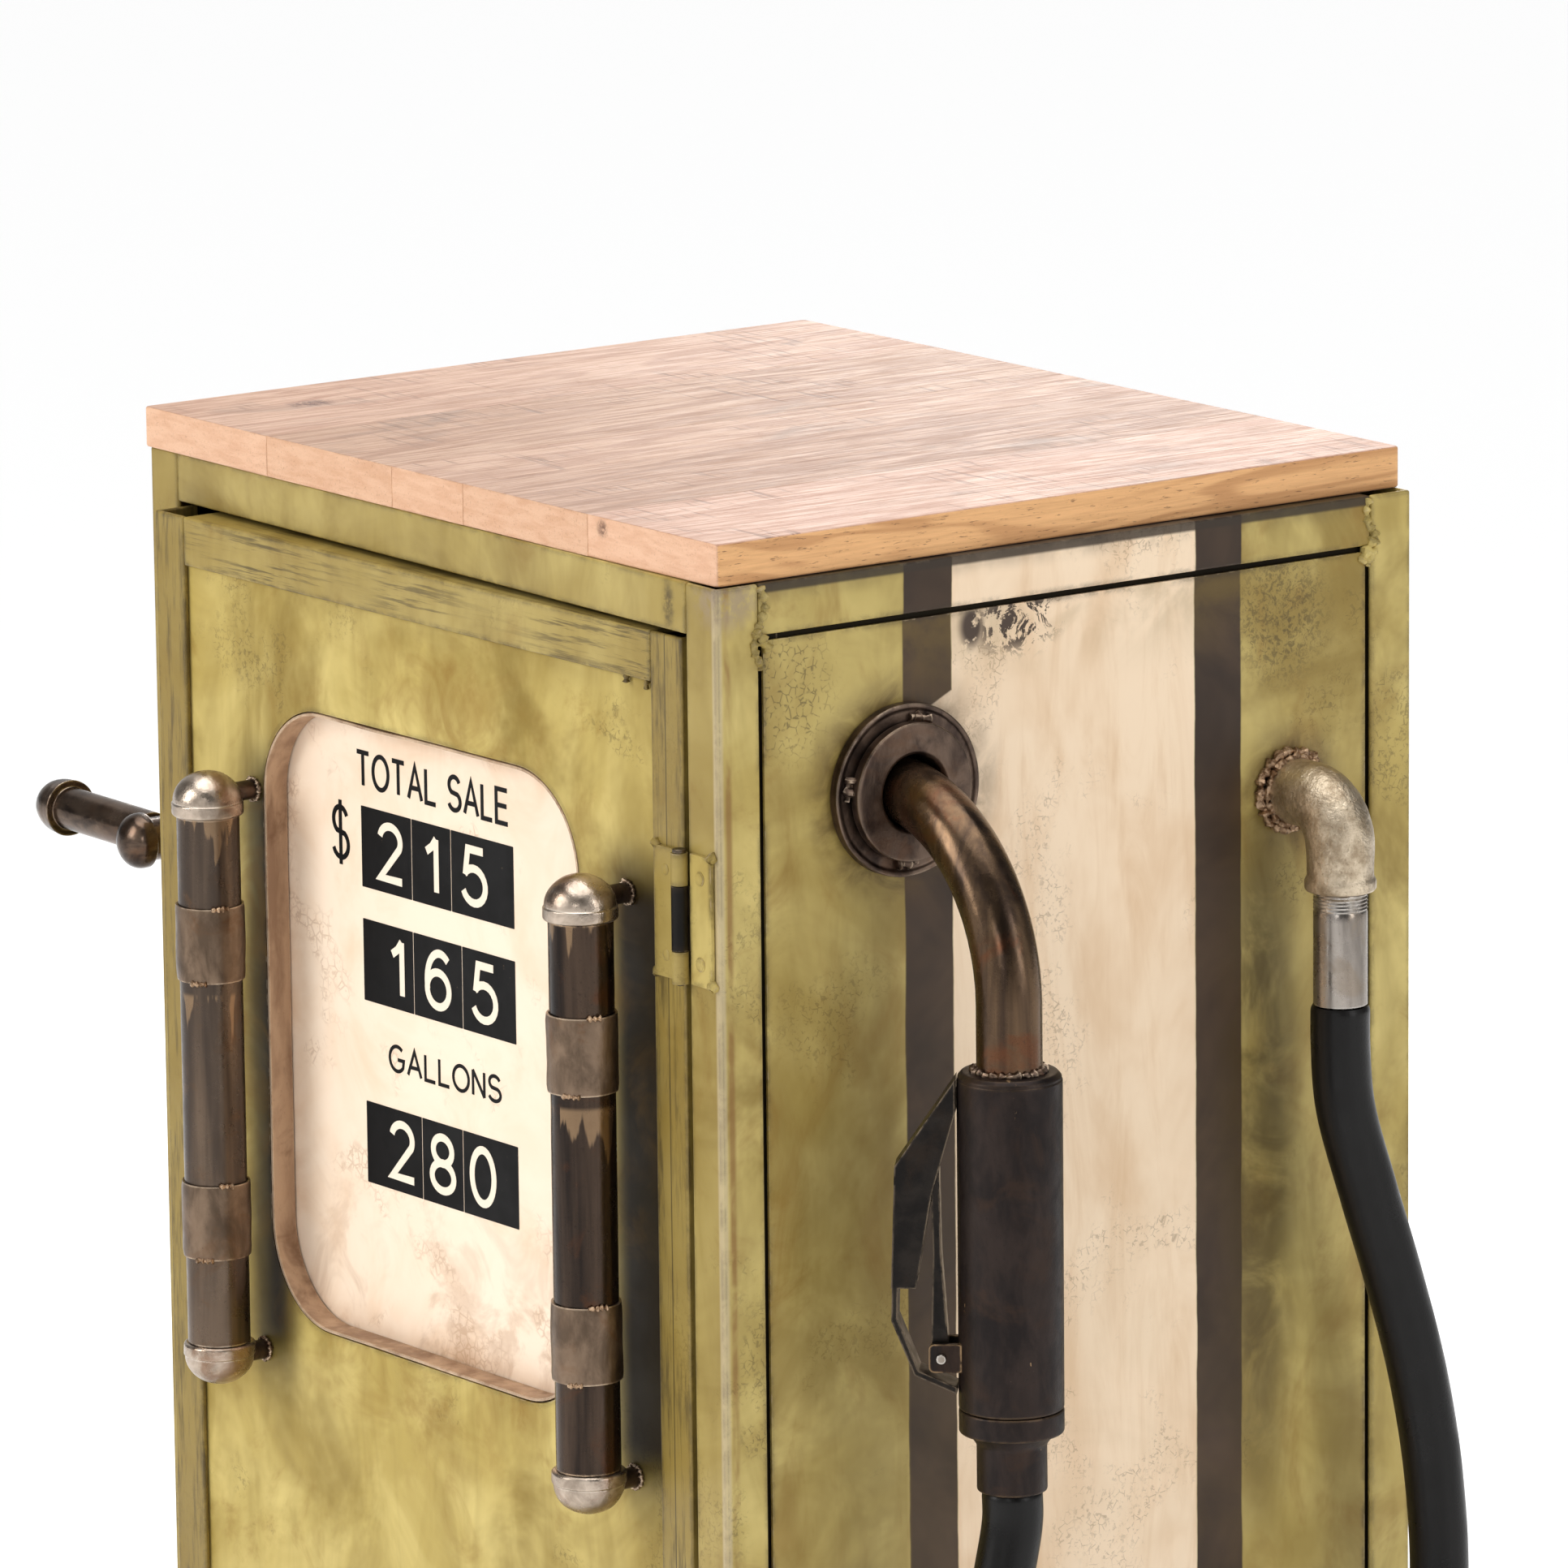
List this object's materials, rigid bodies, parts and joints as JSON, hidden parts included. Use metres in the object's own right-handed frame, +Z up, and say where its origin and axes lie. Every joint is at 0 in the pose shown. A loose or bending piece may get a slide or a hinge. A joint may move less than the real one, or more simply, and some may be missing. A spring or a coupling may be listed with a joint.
{
  "type": "gas pump cabinet",
  "caption": "Storage cabinet shaped like an old fuel pump: angle-iron frame, wood top, hinged door with dial window, side crank, and a holstered nozzle on a looping hose.",
  "frame": {"origin": "on the floor, below the middle of the whole object's box, the hose left out", "axes": "+Z up, the door faces -Y, the nozzle hangs on the +X side and the crank on the -X side"},
  "size_m": [0.7554, 0.4778, 1.06],
  "materials": {
    "green_paint": "semi-gloss lacquer over sponged olive green, rubbed dark at the edges",
    "striped_paint": "semi-gloss cream stripe between two dark stripes on olive green",
    "dial_paint": "aged cream paint with printed black number boxes",
    "bronze_steel": "lacquered bare tube, bronzed and smoked",
    "nickel_steel": "worn nickel with rust specks",
    "gunmetal": "dark brown gunmetal with bright worn edges",
    "black_steel": "glossy black",
    "zinc_steel": "galvanised, satin",
    "cast_iron": "galvanised malleable casting, rough",
    "mango_wood": "satin oil over saw marks",
    "hose_rubber": "satin black",
    "foot_rubber": "matt black"
  },
  "bodies": {
    "cabinet": {"post_front_left": "green_paint", "post_front_right": "green_paint", "post_rear_left": "green_paint", "post_rear_right": "green_paint", "top_rail_front": "green_paint", "top_rail_rear": "green_paint", "top_rail_left": "green_paint", "top_rail_right": "green_paint", "foot_front_left": "foot_rubber", "foot_front_right": "foot_rubber", "foot_rear_left": "foot_rubber", "foot_rear_right": "foot_rubber", "right_panel": "striped_paint", "left_panel": "green_paint", "back_panel": "green_paint", "bottom_tray": "green_paint", "shelf_rail_left": "green_paint", "shelf_rail_right": "green_paint", "shelf": "mango_wood", "wood_top": "mango_wood", "hinge_upper_post_leaf": "green_paint", "hinge_upper_pin": "black_steel", "hinge_lower_post_leaf": "green_paint", "hinge_lower_pin": "black_steel", "door_catch": "black_steel", "holster_plate": "gunmetal", "holster_boss": "gunmetal", "holster_sleeve": "black_steel", "hose_elbow": "cast_iron", "hose_nipple": "zinc_steel", "fuel_hose": "hose_rubber", "crank_bush": "gunmetal"},
    "door": {"hinge_upper_door_leaf": "green_paint", "hinge_lower_door_leaf": "green_paint", "door_stile_left": "green_paint", "door_stile_right": "green_paint", "door_rail_top": "green_paint", "door_rail_bottom": "green_paint", "door_skin": "green_paint", "window_rim": "bronze_steel", "dial_panel": "dial_paint", "left_tube_rod": "bronze_steel", "left_tube_top_cap": "nickel_steel", "left_tube_bottom_cap": "nickel_steel", "left_tube_top_collar": "gunmetal", "left_tube_bottom_collar": "gunmetal", "right_tube_rod": "bronze_steel", "right_tube_top_cap": "nickel_steel", "right_tube_bottom_cap": "nickel_steel", "right_tube_top_collar": "gunmetal", "right_tube_bottom_collar": "gunmetal"},
    "crank": {"crank_spindle": "gunmetal", "crank_arm": "black_steel", "crank_grip": "black_steel"},
    "nozzle": {"spout": "bronze_steel", "nozzle_body": "gunmetal", "nozzle_lower_cap": "gunmetal", "trigger_guard": "black_steel", "trigger_pin": "zinc_steel"},
    "trigger_lever": {"trigger": "black_steel"}
  },
  "joints": [
    {"name": "door_hinge", "type": "hinge", "parent": "cabinet", "child": "door", "pos_m": [0.2418, -0.1871, 0.55], "axis": [0, 0, 1], "range_deg": [-2, 103]},
    {"name": "crank_spin", "type": "hinge", "parent": "cabinet", "child": "crank", "pos_m": [-0.2627, -0.0306, 0.827], "axis": [1, 0, 0], "continuous": true},
    {"name": "nozzle_lift", "type": "slide", "parent": "cabinet", "child": "nozzle", "axis": [1, 0, 0], "range_m": [0, 0.05]},
    {"name": "trigger_pull", "type": "hinge", "parent": "nozzle", "child": "trigger_lever", "pos_m": [0.33109, -0.09908, 0.666], "axis": [-0.766, 0.6428, 0], "range_deg": [0, 4], "stiffness_Nm_per_rad": 0.5}
  ]
}
